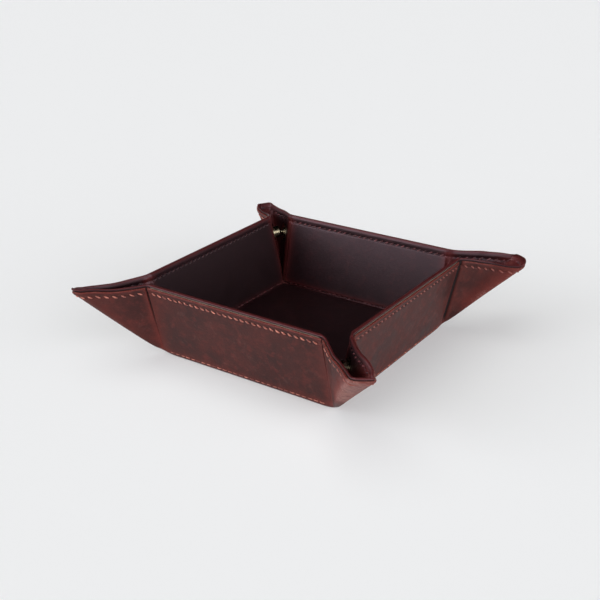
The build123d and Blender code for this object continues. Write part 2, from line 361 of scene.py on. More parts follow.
def wall_surface(u, v):
    """Middle surface of the right half of the front wall."""
    reach = fold_reach()
    share = np.clip((v + reach) / (2 * reach), 0, 1)
    forward, side = arc(reach, share, WALL_TURN)
    beyond = np.maximum(v - reach, 0)
    out = np.minimum(v, -reach) + forward + beyond * cos(WALL_TURN)
    rise = side + beyond * sin(WALL_TURN)
    crease = crease_reach(v)
    share = np.clip((u - HALF_SIDE + crease) / crease, 0, 1) / 2
    forward, side = arc(crease, share, CREASE_TURN)
    width = np.where(share > 0, HALF_SIDE - crease + forward, u)
    points = np.stack((width, -HALF_SIDE - out, COVER + rise), -1)
    return points - side[..., None] * WALL_IN


def ear_surface(u, v):
    """Middle surface of the front right ear between the front wall and the end of the ear, before it sets."""
    leather = settings().leather
    span = np.hypot(u, v)
    turn = np.arctan2(u, v) - FOLD_ANGLE
    along = span * np.cos(turn)
    beside = span * np.sin(turn)
    reach = np.minimum(leather.bend_reach, leather.bend_share * span * tan(pi / 4 - FOLD_ANGLE)) + PROBE
    share = np.clip((beside + reach) / (2 * reach), 0, 1)
    forward, side = arc(reach, share, TIP_TURN)
    beyond = np.maximum(beside - reach, 0)
    x = np.minimum(beside, -reach) + forward + beyond * cos(TIP_TURN)
    y = side + beyond * sin(TIP_TURN)
    points = VERTEX + along[..., None] * TIP_FOLD + x[..., None] * CHEEK_TO_TIP + y[..., None] * CHEEK_IN
    crease = crease_reach(v)
    share = np.clip((crease - u) / crease, 0, 1) / 2
    forward, side = arc(crease, share, CREASE_TURN)
    moved = np.where(share > 0, crease - forward - u, 0)
    return points + moved[..., None] * CHEEK_ACROSS - side[..., None] * CHEEK_IN


def mirrored(points, origin):
    """Points on the other side of the upright plane through a corner and the tray's centre."""
    return points - 2 * ((points - origin) @ ACROSS)[..., None] * ACROSS


def folded(x, y):
    """The sheet folded sharp round the front right corner of the floor, from x and y in the pattern. Places
    are counted from that corner."""
    u, v = np.minimum(x, y), np.maximum(x, y)
    along = u * sin(FOLD_ANGLE) + v * cos(FOLD_ANGLE)
    beside = u * cos(FOLD_ANGLE) - v * sin(FOLD_ANGLE)
    onward = np.where((beside < 0)[..., None], CHEEK_TO_TIP, TIP_ON)
    ear = along[..., None] * TIP_FOLD + beside[..., None] * onward
    upright = np.maximum(v, 0)[..., None] * WALL_UP - np.minimum(v, 0)[..., None] * BACKWARD
    points = np.where((u > 0)[..., None], ear, u[..., None] * RIGHTWARD + upright)
    return np.where((x > y)[..., None], mirrored(points, np.zeros(3)), points)


def round_corner(points, x, y):
    """Leads points over into the softly rounded sheet near the front right corner of the floor, where
    five folds meet. The rounding takes the mean of the sharp sheet over a disc."""
    leather = settings().leather
    span = np.hypot(x, y)
    near = span < leather.soft_far
    x, y, span = x[near], y[near], span[near]
    reach = fold_reach() + leather.soft_reach * hill(span, 0, leather.soft_fade)
    soft = sum(folded(x + reach * share * cos(turn), y + reach * share * sin(turn)) for share, turn in DISC)
    keep = ramp(span, leather.soft_near, leather.soft_far)[:, None]
    points = points.copy()
    points[near] = (VERTEX + soft / len(DISC)) * (1 - keep) + points[near] * keep
    return points


def lean_and_mouth(corner, half):
    """How far the end of an ear leans inwards as seen from one of its cheeks, and how far that cheek's mouth
    spreads."""
    ears = settings().ears
    return ears.lean[corner] * (1, -1)[half], (ears.mouth_one, ears.mouth_two)[half][corner]


def set_ear(points, u, v, corner, half):
    """The ear's own set: its end stands out, leans and rises, its mouth spreads and its rim is raised."""
    ears = settings().ears
    span = np.hypot(u, v)
    turn = np.arctan2(u, v)
    lean, mouth = lean_and_mouth(corner, half)
    crest = (ears.crest_one, ears.crest_two)[half][corner]
    far = (span / ears.span) ** ears.growth
    end = ramp(turn, ears.lean_start, ears.lean_full) * far
    leaning = ramp(turn, ears.lean_late if lean < 0 else ears.lean_start, ears.lean_full) * far
    spread = ramp(turn, ears.lean_late, ears.lean_full) * (1 - ramp(turn, ears.lean_full, pi / 4))
    raised = ramp(turn, ears.crest_start, ears.crest_full) * (1 - ramp(turn, ears.crest_end, pi / 4))
    raised = raised * ramp(span, ears.crest_low, ears.crest_high) * crest
    across = lean * leaning - mouth * spread * span / ears.span
    crown_start = FOLD_ANGLE - ears.crown_lead * (pi / 4 - FOLD_ANGLE)
    crown = ears.crown[corner] * ramp(turn, crown_start, pi / 4) * far
    up = ears.rise[corner] * end + crown + ears.crest_up * raised
    out = ears.stand[corner] * end + ears.crest_out * raised
    return points + across[..., None] * ACROSS + up[..., None] * UP + out[..., None] * OUTWARD


def quarter_turn(points, quarter):
    """Turns points by a number of quarter turns about the upright axis."""
    c, s = ((1, 0), (0, 1), (-1, 0), (0, -1))[quarter % 4]
    x, y = points[..., 0].copy(), points[..., 1].copy()
    turned = points.copy()
    turned[..., 0] = c * x - s * y
    turned[..., 1] = s * x + c * y
    return turned


def side_of(u):
    return np.where(u < 0, -1, 1)


class WallPanel:
    """A wall, with u along it and v up it."""

    def __init__(self, quarter):
        self.quarter = quarter

    def place(self, u, v):
        width = np.abs(u)
        points = round_corner(wall_surface(width, v), width - HALF_SIDE, v)
        points[..., 0] *= side_of(u)
        return quarter_turn(points, self.quarter)

    def pattern(self, u, v):
        return quarter_turn(np.stack((u, -HALF_SIDE - v, np.zeros_like(u)), -1), self.quarter)


class EarPanel:
    """Half of an ear: half 0 beside the first wall and half 1, its mirror image, beside the second."""

    def __init__(self, corner, half):
        self.corner = corner
        self.half = half

    def place(self, u, v):
        points = set_ear(round_corner(ear_surface(u, v), u, v), u, v, self.corner, self.half)
        if self.half:
            points = mirrored(points, VERTEX)
        return quarter_turn(points, self.corner)

    def pattern(self, u, v):
        flat = np.stack((HALF_SIDE + u, -HALF_SIDE - v, np.zeros_like(u)), -1)
        if self.half:
            flat = mirrored(flat, np.zeros(3))
        return quarter_turn(flat, self.corner)


class FloorPanel:
    """The floor, with u to the right and v to the front."""

    def place(self, u, v):
        width, depth = np.abs(u), np.abs(v)
        points = np.stack((width, -depth, np.full_like(u, COVER)), -1)
        points = round_corner(points, width - HALF_SIDE, depth - HALF_SIDE)
        points[..., 0] *= side_of(u)
        points[..., 1] *= side_of(v)
        return points

    def pattern(self, u, v):
        return np.stack((u, -v, np.zeros_like(u)), -1)


def frame_of(panel, u, v):
    """Points of a panel's middle surface and the normals on its lining side."""
    along_u = panel.place(u + PROBE, v) - panel.place(u - PROBE, v)
    along_v = panel.place(u, v + PROBE) - panel.place(u, v - PROBE)
    normal = unit(np.cross(along_v, along_u))
    return panel.place(u, v), -normal if getattr(panel, "half", 0) else normal


# Meshes

# Edges turned by less than this are shaded smooth, on the leather and on the studs and boards
LEATHER_SMOOTH = radians(50)
SOLID_SMOOTH = radians(35)


def grid_faces(rows, columns):
    """Quads of a grid whose vertices are numbered row by row."""
    index = np.arange(rows * columns).reshape(rows, columns)
    return np.stack((index[:-1, :-1], index[1:, :-1], index[1:, 1:], index[:-1, 1:]), -1).reshape(-1, 4)


def border_faces(rows, columns):
    """Quads that join the borders of two such grids, the second numbered after the first."""
    index = np.arange(rows * columns).reshape(rows, columns)
    ring = np.concatenate((index[0, :-1], index[:-1, -1], index[-1, :0:-1], index[:0:-1, 0]))
    after = np.roll(ring, -1)
    return np.stack((ring, after, after + rows * columns, ring + rows * columns), -1)


def mesh_object(name, points, faces, values, material):
    """A smooth closed mesh with its pattern coordinates and other values as attributes."""
    mesh = bpy.data.meshes.new(name)
    mesh.from_pydata(points.reshape(-1, 3).tolist(), [], faces)
    for key, value in values.items():
        kind, field = ("FLOAT_VECTOR", "vector") if value.shape[-1:] == (3,) else ("FLOAT", "value")
        mesh.attributes.new(key, kind, "POINT").data.foreach_set(field, value.astype(np.float32).ravel())
    shape = bmesh.new()
    shape.from_mesh(mesh)
    bmesh.ops.recalc_face_normals(shape, faces=shape.faces)
    shape.to_mesh(mesh)
    shape.free()
    mesh.shade_smooth()
    mesh.set_sharp_from_angle(angle=LEATHER_SMOOTH)
    mesh.materials.append(material)
    made = bpy.data.objects.new(name, mesh)
    bpy.context.scene.collection.objects.link(made)
    return made


def sheet_object(name, panel, front, back, wear, pressed, material):
    """A sheet between a front and a back grid, each given as u, v and h."""
    points, pattern = [], []
    for u, v, h in (front, back):
        middle, normal = frame_of(panel, u, v)
        points.append(middle + h[..., None] * normal)
        flat = panel.pattern(u, v)
        flat[..., 2] = h
        pattern.append(flat)
    rows, columns = front[0].shape
    faces = grid_faces(rows, columns)
    faces = np.concatenate((faces, faces + rows * columns, border_faces(rows, columns)))
    # The pressed attribute carries painted shade: the pressed line, the tuck behind the cover and the
    # darkened linings.
    values = {
        "pattern": np.stack(pattern),
        "wear": np.stack((wear, wear)).ravel(),
        "pressed": np.stack((pressed, pressed)).ravel(),
    }
    return mesh_object(name, np.stack(points), faces.tolist(), values, material)


def spaced(stops):
    """Places from stop to stop, each stretch given as its end and its spacing."""
    places = [stops[0]]
    for end, spacing in stops[1:]:
        count = max(1, round(abs(end - places[-1]) / spacing))
        places.extend(np.linspace(places[-1], end, count + 1)[1:])
    return np.array(places)


def seam_relief(along, drop, first, pitch, edge):
    """How far a seam draws the leather in, less what puffs up between it and the edge."""
    leather = settings().leather
    seam = settings().seams.rim_drop
    beside = (along - first) % pitch
    beside = np.minimum(beside, pitch - beside)
    channel = leather.channel_depth * hill(drop, seam, leather.channel_width)
    hole = leather.hole_depth * hill(np.hypot(drop - seam, beside), 0, leather.hole_radius)
    puff = leather.puff * hill(drop, (edge + seam) / 2, leather.puff_width)
    return channel + hole - puff


def wall_seam():
    """Place of the first hole of a wall's rim seam, counted from the middle of the wall, and its stitches."""
    seams = settings().seams
    count = int(2 * (HALF_SIDE - seams.ends) / seams.pitch)
    return -count * seams.pitch / 2, count


# Leather

# Spacing of the grids, from the sharpest bends to the flat, and how far the closer rows reach
CREASE_SPACING = 0.2 * MM
SEAM_SPACING = 0.3 * MM
FOLD_SPACING = 0.35 * MM
BESIDE_SPACING = 0.4 * MM
RIM_SPACING = 0.5 * MM
VERTEX_SPACING = 0.6 * MM
EAR_SPACING = 1.5 * MM
WALL_SPACING = 1.7 * MM
FLOOR_SPACING = 2.5 * MM
CREASE_BAND = 2 * MM
FOLD_BAND = 2 * MM
SEAM_BAND = 2.4 * MM
BESIDE_BAND = 4 * MM
FLOOR_BAND = 8 * MM
VERTEX_BAND = 9 * MM
EDGE_STEPS = 5

# Hair-thin gaps that keep the cover, the lining and the boards apart
COVER_GAP = 0.02 * MM
BOARD_GAP = 0.03 * MM
LINING_GAP = 0.04 * MM
RIM_GAP = 0.05 * MM

# Stretches over which a thing sets in: up a wall, below the rim, in from an edge or out from the vertex
FOOT_FROM = (-2 * MM, 0)
FOOT_TO = (3 * MM, 6 * MM)
CREASED_BELOW = (0, 3 * MM)
PAINTED_TUCK_SHADE_BELOW = (0.1 * MM, 0.7 * MM)
PAINTED_SHADE_BELOW = (2 * MM, 5 * MM)
PAINTED_SHADE_INSIDE = (2 * MM, 6 * MM)
BOARD_BESIDE = (MM, BOARD_INSET - 0.2 * MM)
BOARD_ABOVE = (1.9 * MM, BOARD_INSET)
POCKET_EDGE = (BOARD_INSET - 0.9 * MM, BOARD_INSET - 0.1 * MM)
BEND_WORN = (10 * MM, 30 * MM)
EAR_LINED = (MM, 12 * MM)

# The pressed line is pressed into the cover and also darkened as painted shade.
# Where the pressed line beside an ear starts up the wall, and how much its bottom is flattened
GROOVE_START = 2 * MM
GROOVE_FLATNESS = 1.7

# Shares: how far the cover's back gives way under its rounded edge, the rim's outer rounding against its
# inner one, and what is left of an ear's lining at the floor's corner
LIP_UNDERCUT = 0.6
OUTER_ROUNDING = 0.7
LINING_LEAST = 0.2

# How far an ear's lining reaches down behind the cover's edge, and the depth below the rim down to which the
# rows of an ear run parallel to it
LINING_LAP = 0.6 * MM
EAR_CORE = 9 * MM


def wall_drops(lip):
    """Places below the rim of a wall: its edge, its seam, its board and its floor fold."""
    fold = BOARD_INSET + FOLD_BAND
    seam = settings().seams.rim_drop + SEAM_BAND
    down = spaced((lip[-1], (seam, SEAM_SPACING), (WALL_HEIGHT - fold, WALL_SPACING)))
    fold_rows = spaced((fold, (-fold_reach(), FOLD_SPACING)))
    return np.concatenate((lip, down[1:], WALL_HEIGHT - fold_rows[1:]))


def wall_wear(u, v):
    """Where the leather of a wall is creased: beside the ears and at the floor fold."""
    wear = settings().wear
    foot = ramp(v, *FOOT_FROM) * (1 - ramp(v, *FOOT_TO))
    crease = hill(HALF_SIDE - np.abs(u), 0, wear.crease_width)
    return np.clip(wear.crease * crease + wear.foot * foot, 0, wear.wall_most)


def wall_grid(drops):
    """u and v of a wall's grid, mitred below the fold line."""
    along = spaced((-HALF_SIDE, (CREASE_BAND - HALF_SIDE, CREASE_SPACING),
                    (BESIDE_BAND - HALF_SIDE, BESIDE_SPACING), (HALF_SIDE - BESIDE_BAND, RIM_SPACING),
                    (HALF_SIDE - CREASE_BAND, BESIDE_SPACING), (HALF_SIDE, CREASE_SPACING)))
    v = np.broadcast_to(WALL_HEIGHT - drops, (len(along), len(drops)))
    return along[:, None] * (1 + np.minimum(v, 0) / HALF_SIDE), v


def groove(beside, v, corner, half):
    """Share of the pressed line between wall and ear, which fades out towards the floor. The share presses
    the cover in and also paints shade into the line.
    """
    leather = settings().leather
    width = (leather.groove_one, leather.groove_two)[half][corner]
    whole = (leather.foot_one, leather.foot_two)[half][corner]
    return np.minimum(GROOVE_FLATNESS * hill(beside, 0, width), 1) * ramp(v, GROOVE_START, whole)


def cover_lip():
    """Drops and heights of the rounded edge of the cover."""
    leather = settings().leather
    quarter = np.linspace(0, pi / 2, EDGE_STEPS)
    drops = leather.cover_drop + leather.cover_rounding * (1 - np.cos(quarter))
    return drops, leather.cover_rounding * (1 - np.sin(quarter))


def cover_sheet(name, panel, grid, drops, lip, relief, line, wear, material):
    """Cover leather of a panel over its grid of u and v, with the pressed line beside an ear, pressed in and
    darkened with painted shade.
    """
    leather = settings().leather
    worn = settings().wear
    u, v = grid
    lip = np.pad(lip, (0, len(drops) - len(lip)))
    height = -COVER + relief + leather.groove_depth * line + lip
    rubbed = worn.edge * hill(drops, leather.cover_drop, worn.edge_width)
    back = np.broadcast_to(-COVER_GAP - LIP_UNDERCUT * lip, u.shape)
    # The pressed line's share goes in as painted shade, which the material mixes towards near black.
    piece = sheet_object(name, panel, (u, v, height), (u, v, back), np.maximum(wear, rubbed), line, material)
    return piece


def make_wall_cover(side, material):
    """Cover of a wall from its cut edge down round the floor fold."""
    lip_drops, lip = cover_lip()
    drops = wall_drops(lip_drops)
    u, v = wall_grid(drops)
    relief = seam_relief(u, drops, wall_seam()[0], settings().seams.pitch, settings().leather.cover_drop)
    quarter = SIDES.index(side)
    beside = HALF_SIDE - np.abs(u)
    # The pressed line beside each ear, which also carries painted shade.
    line = np.where(u > 0, groove(beside, v, quarter, 0), groove(beside, v, quarter - 1, 1))
    piece = cover_sheet(f"{side}_wall_cover_leather", WallPanel(quarter), (u, v), drops, lip, relief, line,
                        settings().wear.cover_share * wall_wear(u, v), material)
    blend_at_floor(piece, side)
    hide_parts(f"wall_{side}_cover")


def blend_at_floor(piece, side):
    """Works out the ends of the fold at the foot of a wall, which are not used, and bakes the piece's
    placement into its mesh.
    """
    reach = fold_reach()
    ends = WallPanel(SIDES.index(side)).place(np.zeros(2), np.array((-reach, reach)))
    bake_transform(piece)


def rim_section(start, thickness):
    """Drops and heights of the lining from start on its outer side, over the rim and down inside."""
    inner = settings().leather.rim_rounding
    outer = OUTER_ROUNDING * inner
    quarter = np.linspace(0, pi / 2, EDGE_STEPS)
    drops = np.concatenate(((start,), outer * (1 - np.sin(quarter)), inner * (1 - np.cos(quarter))))
    heights = np.concatenate(((RIM_GAP,), RIM_GAP + outer * (1 - np.cos(quarter)),
                              thickness - inner * (1 - np.sin(quarter))))
    return drops, heights


def lining_wear(creased, drops):
    """Wear of a lining: where it is creased, from below the rim on, and on the rim."""
    wear = settings().wear
    rim = wear.rim * hill(drops, wear.rim_drop, wear.rim_width)
    return np.maximum(creased * ramp(drops, *CREASED_BELOW), rim)


def painted_tuck_shade(drops, lip):
    """Painted shade: a dark line where the lining disappears behind the cover's edge."""
    return np.where(np.arange(len(drops)) < len(lip) // 2, ramp(drops, *PAINTED_TUCK_SHADE_BELOW), 0)


def hem_height(drops):
    """Inner height of the lining off the boards: the hem along the rim, then one thickness."""
    leather = settings().leather
    hem = 1 - ramp(drops, leather.hem_width, leather.hem_width + leather.hem_step)
    return LINING + (leather.hem_thickness - LINING) * hem


def make_wall_lining(side, material):
    """Lining of a wall: over the board's top edge, down the inside and round the floor fold."""
    leather = settings().leather
    worn = settings().wear
    full = BOARD + LINING
    lip, lip_height = rim_section(LINING, full)
    drops = wall_drops(lip)
    u, v = wall_grid(drops)
    beside = HALF_SIDE - np.abs(u)
    on_board = ramp(beside, *BOARD_BESIDE) * ramp(v, *BOARD_ABOVE)
    hem = hem_height(drops)
    level = hem + (full - hem) * on_board
    inside = np.arange(len(drops)) >= len(lip)
    relief = seam_relief(u, drops, wall_seam()[0], settings().seams.pitch, 0)
    bulge = leather.rim_bulge * hill(drops, leather.bulge_drop, leather.bulge_width)
    over_rim = np.pad(lip_height, (0, len(drops) - len(lip))) * level[:, [len(lip) - 1]] / full
    height = np.where(inside, level - relief + bulge, over_rim)
    pocket = ramp(beside, *POCKET_EDGE) * ramp(v, *POCKET_EDGE)
    share = np.where(inside, 1, np.arange(len(drops)) / (len(lip) - 1))
    back_u, back_v = wall_grid(np.maximum(drops, LINING - BOARD_GAP))
    back = (back_u, back_v, LINING_GAP + BOARD * share * pocket)
    wear = lining_wear(wall_wear(u, v), drops)
    quarter = SIDES.index(side)
    # Painted shade: the wall's lining is darkened below the rim, less where it is worn, and goes with the
    # tuck line into the pressed attribute.
    shade = worn.wall_painted_shade[quarter] * ramp(drops, *PAINTED_SHADE_BELOW) * (1 - worn.painted_shade_worn_off * wear)
    piece = sheet_object(f"{side}_wall_lining_leather", WallPanel(quarter), (u, v, height), back, wear,
                         np.maximum(painted_tuck_shade(drops, lip), shade), material)
    blend_at_floor(piece, side)
    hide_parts(f"wall_{side}_lining")


def ear_stations():
    """Stations along half of an ear's rim, as the length from the crease."""
    radius = settings().leather.corner_radius
    total = WALL_HEIGHT - radius + radius * pi / 4
    return spaced((0, (CREASE_BAND, CREASE_SPACING), (BESIDE_BAND, BESIDE_SPACING), (total, RIM_SPACING)))


def ear_grid(along, drops):
    """u and v of half an ear: parallel to the rim down to its core, then towards the floor's corner."""
    radius = settings().leather.corner_radius
    straight = WALL_HEIGHT - radius
    turn = np.clip((along - straight) / radius, 0, pi / 4)[:, None]
    run = np.minimum(along, straight)[:, None]
    radius = radius - np.minimum(drops, EAR_CORE)
    keep = 1 - np.clip((drops - EAR_CORE) / (WALL_HEIGHT - EAR_CORE), 0, 1)
    return (run + radius * np.sin(turn)) * keep, (straight + radius * np.cos(turn)) * keep


def ear_drops(lip):
    """Places below the rim of an ear: its edge, its seam, its side and the floor's corner."""
    low = WALL_HEIGHT - VERTEX_BAND
    seam = settings().seams.rim_drop + SEAM_BAND
    down = spaced((lip[-1], (seam, SEAM_SPACING), (low, EAR_SPACING), (WALL_HEIGHT, VERTEX_SPACING)))
    return np.concatenate((lip, down[1:]))


def ear_relief(along, drops, edge):
    pitch = settings().seams.ear_pitch
    return seam_relief(along[:, None], drops, pitch / 2, pitch, edge)


def ear_wear(u, v, corner):
    """Where the leather of an ear is creased: beside the wall and along the bend at its end. The bend's
    strength per ear is partly painted light.
    """
    wear = settings().wear
    span = np.hypot(u, v)
    beside = span * np.sin(np.arctan2(u, v) - FOLD_ANGLE)
    bend = hill(beside, 0, wear.ear_bend_width) * ramp(span, *BEND_WORN)
    crease = hill(u, 0, wear.ear_crease_width)
    return np.clip(wear.ear_crease * crease + wear.ear_bend_wear_and_painted_light[corner] * bend, 0, 1)


# How far a cheek stands out when it takes the widest band. Then, for a cheek in its plane and for that one:
# the band's width, its tilt in radians and how far it reaches past the fold
STANDS_OUT = 10 * MM
BAND_WIDTH = (4.5 * MM, 12 * MM)
BAND_TILT = (0.06, 0.12)
BAND_PAST = (-MM, 3 * MM)


def blend_at_ear(piece, corner, half):
    """Works out the ends of a band between half an ear's cheek and the end of the ear, wider for a cheek that
    stands out from its plane; they are not used, and only the piece's placement is baked into its mesh."""
    lean, mouth = lean_and_mouth(corner, half)
    share = (mouth - lean) / STANDS_OUT
    band, tilt, end = (np.interp(share, (0, 1), pair) for pair in (BAND_WIDTH, BAND_TILT, BAND_PAST))
    onward = TIP_FOLD * sin(tilt) - TIP_IN * cos(tilt)
    ends = VERTEX + np.stack((onward * (end - band), onward * end))
    if half:
        ends = mirrored(ends, VERTEX)
    ends = quarter_turn(ends, corner)
    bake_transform(piece)


def make_ear_cover(corner, half, material):
    """Cover of half an ear."""
    lip_drops, lip = cover_lip()
    drops = ear_drops(lip_drops)
    along = ear_stations()
    u, v = ear_grid(along, drops)
    name = CORNERS[corner]
    relief = ear_relief(along, drops, settings().leather.cover_drop)
    line = groove(u, v, corner, half)
    piece = cover_sheet(f"{name}_ear_cover_leather_{CHEEKS[half]}", EarPanel(corner, half), (u, v), drops,
                        lip, relief, line, ear_wear(u, v, corner), material)
    blend_at_ear(piece, corner, half)
    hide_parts(f"ear_{name}_cheek_{CHEEKS[half]}_cover", f"ear_{name}_tip_cover")


def make_ear_lining(corner, half, material):
    """Lining of half an ear: a folded hem along the rim, then one thickness down to the floor's corner."""
    leather = settings().leather
    start = leather.cover_drop + LINING_LAP
    lip, lip_height = rim_section(start, leather.hem_thickness)
    drops = ear_drops(lip)
    along = ear_stations()
    u, v = ear_grid(along, drops)
    inside = np.arange(len(drops)) >= len(lip)
    whole = ramp(np.hypot(u, v), *EAR_LINED)
    thickness = hem_height(drops) * (LINING_LEAST + (1 - LINING_LEAST) * whole)
    level = thickness - ear_relief(along, drops, 0) * whole
    height = np.where(inside, level, np.pad(lip_height, (0, len(drops) - len(lip))))
    back_u, back_v = ear_grid(along, np.maximum(drops, start))
    back = (back_u, back_v, np.full(u.shape, LINING_GAP))
    wear = lining_wear(ear_wear(u, v, corner), drops)
    name = CORNERS[corner]
    # Painted shade on the ear's lining: the dark line where it tucks behind the cover.
    piece = sheet_object(f"{name}_ear_lining_leather_{CHEEKS[half]}", EarPanel(corner, half), (u, v, height),
                         back, wear, np.broadcast_to(painted_tuck_shade(drops, lip), u.shape), material)
    blend_at_ear(piece, corner, half)
    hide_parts(f"ear_{name}_cheek_{CHEEKS[half]}_lining", f"ear_{name}_tip_lining")


def make_floor_leather(cover_material, lining_material):
    """Cover and lining of the floor, up to where the floor folds begin."""
    worn = settings().wear
    half = HALF_SIDE - fold_reach()
    places = spaced((-half, (FLOOR_BAND - half, BESIDE_SPACING), (half - FLOOR_BAND, FLOOR_SPACING),
                     (half, BESIDE_SPACING)))
    u, v = np.meshgrid(places, places, indexing="ij")
    inset = HALF_SIDE - np.maximum(np.abs(u), np.abs(v))
    wear = worn.floor * hill(inset, worn.floor_inset, worn.floor_width)
    level = LINING + BOARD * ramp(inset, *BOARD_ABOVE)
    pocket = BOARD_GAP + BOARD * ramp(inset, *POCKET_EDGE)
    # Painted shade: the floor's lining is darkened in from its edge, where the walls shade it.
    shade = worn.floor_painted_shade * ramp(inset, *PAINTED_SHADE_INSIDE)
    for layer, face, back, dark, material in (
            ("cover", np.full(u.shape, -COVER), np.full(u.shape, -COVER_GAP), 0 * shade, cover_material),
            ("lining", level, pocket, shade, lining_material)):
        piece = sheet_object(f"floor_{layer}_leather", FloorPanel(), (u, v, face), (u, v, back), wear, dark,
                             material)
        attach(piece, "base")
        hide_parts(f"base_{layer}")


# Thread

# A stitch's strand: the rings along it and the sides round it. Then, as shares of its thickness, how thick
# it is at its ends, how high it arches and how deep it sinks into its holes
STRAND_RINGS = 7
STRAND_SIDES = 8
STRAND_ENDS = 0.62
STRAND_ARCH = 0.46
STRAND_SINK = 0.16


def thread_object(name, panel, starts, ends, level, outward, thickness, material):
    """Stitches from starts to ends, each a rounded strand that dips into its holes. The face of the leather
    lies at level and outward is 1 on its lining side and -1 on its cover side."""
    share = np.linspace(0, 1, STRAND_RINGS)
    swell = np.sin(pi * share)
    places = starts[:, None, :] + (ends - starts)[:, None, :] * share[None, :, None]
    u, v = places[..., 0], places[..., 1]
    middle, normal = frame_of(panel, u, v)
    radius = thickness / 2 * (STRAND_ENDS + (1 - STRAND_ENDS) * swell)
    height = level + outward * thickness * (STRAND_ARCH * swell - STRAND_SINK)
    centre = middle + height[..., None] * normal
    along = unit(np.gradient(centre, axis=1))
    beside = unit(np.cross(along, normal))
    turn = np.linspace(0, 2 * pi, STRAND_SIDES, endpoint=False)
    circle = np.cos(turn)[:, None] * beside[:, :, None, :] + np.sin(turn)[:, None] * normal[:, :, None, :]
    rings = centre[:, :, None, :] + radius[None, :, None, None] * circle
    count, steps, sides = rings.shape[:3]
    faces = []
    for index in range(count):
        start = index * steps * sides
        last = start + (steps - 1) * sides
        for low in range(start, last, sides):
            for side in range(sides):
                after = (side + 1) % sides
                faces.append((low + side, low + after, low + sides + after, low + sides + side))
        faces.append(tuple(range(start, start + sides)))
        faces.append(tuple(reversed(range(last, last + sides))))
    pattern = np.repeat(panel.pattern(u, v)[:, :, None, :], sides, axis=2)
    piece = mesh_object(name, rings, faces, {"pattern": pattern}, material)
    return piece


def slanted(centres, directions, toward):
    """Starts and ends of stitches that lie across their seam's direction by the slant."""
    seams = settings().seams
    c, s = cos(seams.slant), toward * sin(seams.slant)
    x, y = directions.T
    reach = np.stack((x * c - y * s, x * s + y * c), -1) * seams.stitch / 2
    return centres - reach, centres + reach


def make_wall_thread(side, outer, inner):
    """Rim seam of a wall, outside and inside."""
    seams = settings().seams
    sunk = settings().leather.channel_depth
    first, count = wall_seam()
    centres = np.stack((first + seams.pitch * (np.arange(count) + 0.5),
                        np.full(count, WALL_HEIGHT - seams.rim_drop)), -1)
    starts, ends = slanted(centres, np.tile((1.0, 0.0), (count, 1)), -1)
    for place, material, level, outward in (
            ("outside", outer, -COVER + sunk, -1), ("inside", inner, BOARD + LINING - sunk, 1)):
        piece = thread_object(f"{side}_wall_seam_{place}", WallPanel(SIDES.index(side)), starts, ends, level,
                              outward, seams.thread, material)
        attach(piece, f"wall_{side}")
        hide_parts(f"wall_{side}_thread")


def make_ear_thread(corner, half, outer, inner):
    """Rim seam of half an ear, outside and inside."""
    seams = settings().seams
    leather = settings().leather
    straight = WALL_HEIGHT - leather.corner_radius
    bend = leather.corner_radius - seams.rim_drop
    count = int((straight + bend * pi / 4) / seams.ear_pitch)
    along = seams.ear_pitch * (np.arange(count) + 1.0)
    turn = np.clip((along - straight) / bend, 0, pi / 4)
    run = np.minimum(along, straight)
    centres = np.stack((run + bend * np.sin(turn), straight + bend * np.cos(turn)), -1)
    starts, ends = slanted(centres, np.stack((np.cos(turn), -np.sin(turn)), -1), (-1, 1)[half])
    for place, material, level, outward in (
            ("outside", outer, -COVER + leather.channel_depth, -1),
            ("inside", inner, LINING - leather.channel_depth, 1)):
        piece = thread_object(f"{CORNERS[corner]}_ear_seam_{CHEEKS[half]}_{place}", EarPanel(corner, half),
                              starts, ends, level, outward, seams.thread, material)
        blend_at_ear(piece, corner, half)


def make_floor_thread(side, outer, inner):
    """Seam at the foot of a wall, which closes the pocket of the floor's board."""
    seams = settings().seams
    count = int(2 * (HALF_SIDE - seams.floor_ends) / seams.pitch)
    along = seams.pitch * (np.arange(count) - (count - 1) / 2)
    centres = np.stack((along, np.full(count, seams.floor_rise)), -1)
    reach = np.array((seams.stitch / 2, 0))
    for place, material, level, outward, thickness in (
            ("outside", outer, -COVER, -1, seams.fine_thread),
            ("inside", inner, LINING + seams.floor_lift, 1, seams.thread)):
        piece = thread_object(f"{side}_floor_seam_{place}", WallPanel(SIDES.index(side)), centres - reach,
                              centres + reach, level, outward, thickness, material)
        blend_at_floor(piece, side)
        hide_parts("base_thread")


# Materials

def add(tree, kind, inputs=None, stops=None, **options):
    """Adds a node, sets its options, its inputs and the stops of its colour ramp, and links the inputs that
    are given as sockets."""
    node = tree.nodes.new(kind)
    for key, value in options.items():
        setattr(node, key, value)
    for key, value in (inputs or {}).items():
        if isinstance(value, bpy.types.NodeSocket):
            tree.links.new(value, node.inputs[key])
        else:
            node.inputs[key].default_value = value
    if stops:
        for element, (place, colour) in zip(node.color_ramp.elements, stops):
            element.position = place
            element.color = colour
    return node


def new_material(name):
    material = bpy.data.materials.new(name)
    material.use_nodes = True
    material.node_tree.nodes.clear()
    return material, material.node_tree


# Patterns of waxed leather: their size in millimetres, and their detail, roughness and distortion
LEATHER_PATTERNS = {
    "clouds": (24, 5.0, 0.6, 0.6),
    "mottle": (5, 6.0, 0.65, 0.0),
    "lines": (1.6, 4.0, 0.7, 1.5),
    "scuffs": (7, 8.0, 0.75, 0.8),
    "specks": (1.3, 3.0, 0.6, 0.0),
}
PEBBLE = 0.8 * MM


